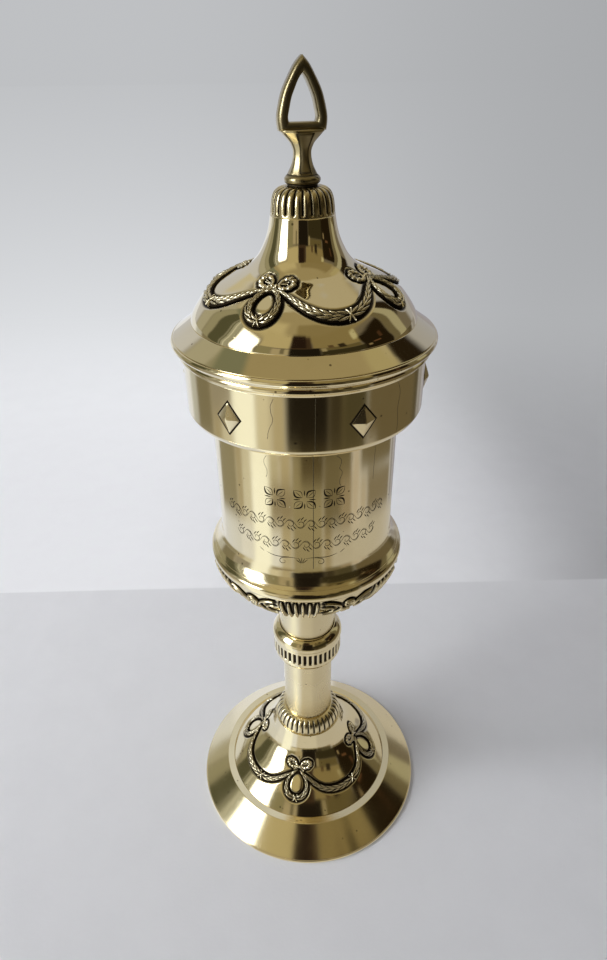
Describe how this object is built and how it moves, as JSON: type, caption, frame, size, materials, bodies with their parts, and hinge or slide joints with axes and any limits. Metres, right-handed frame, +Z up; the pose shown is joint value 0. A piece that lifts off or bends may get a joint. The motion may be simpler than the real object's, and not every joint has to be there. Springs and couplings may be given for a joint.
{
  "type": "covered presentation cup",
  "caption": "Covered brass presentation cup: stepped round foot, knopped stem, straight cup with a wide band at the mouth, and a lift-off domed lid with a pointed loop finial.",
  "frame": {"origin": "centre of the foot's underside, on the surface the cup stands on", "axes": "+Z up along the cup's axis, -Y towards the engraved front, +X to the right seen from the front"},
  "size_m": [0.09, 0.09, 0.2631],
  "materials": {
    "polished_brass": "polished, pale gold tone, fine cleaning scratches",
    "cast_brass": "cast and chased, dark patina left in the grooves",
    "plain_brass": "plain spun or turned, inside surfaces",
    "steel": "plain turned fastener"
  },
  "bodies": {
    "cup": {"foot_rim_wire": "polished_brass", "foot_skirt": "polished_brass", "foot_dome": "polished_brass", "foot_collar": "cast_brass", "foot_washer": "plain_brass", "clamp_nut": "steel", "tie_rod": "steel", "stem_tube_lower": "polished_brass", "knop_band": "cast_brass", "knop_cap": "polished_brass", "stem_tube_upper": "polished_brass", "bowl_base": "polished_brass", "bowl_ring": "polished_brass", "rod_boss": "plain_brass", "cup_body": "polished_brass", "band_shoulder": "polished_brass", "mouth_band": "polished_brass", "band_studs": "cast_brass", "lip_ring": "polished_brass"},
    "lid": {"lid_rim": "polished_brass", "lid_flange": "polished_brass", "lid_bezel": "plain_brass", "lid_dome": "polished_brass", "lid_cap": "cast_brass", "cap_washer": "plain_brass", "finial_nut": "steel", "finial_screw": "steel", "finial_seat": "plain_brass", "finial": "cast_brass"}
  },
  "joints": [
    {"name": "lid_lift", "type": "slide", "parent": "cup", "child": "lid", "axis": [0, 0, 1], "range_m": [0, 0.08]}
  ]
}
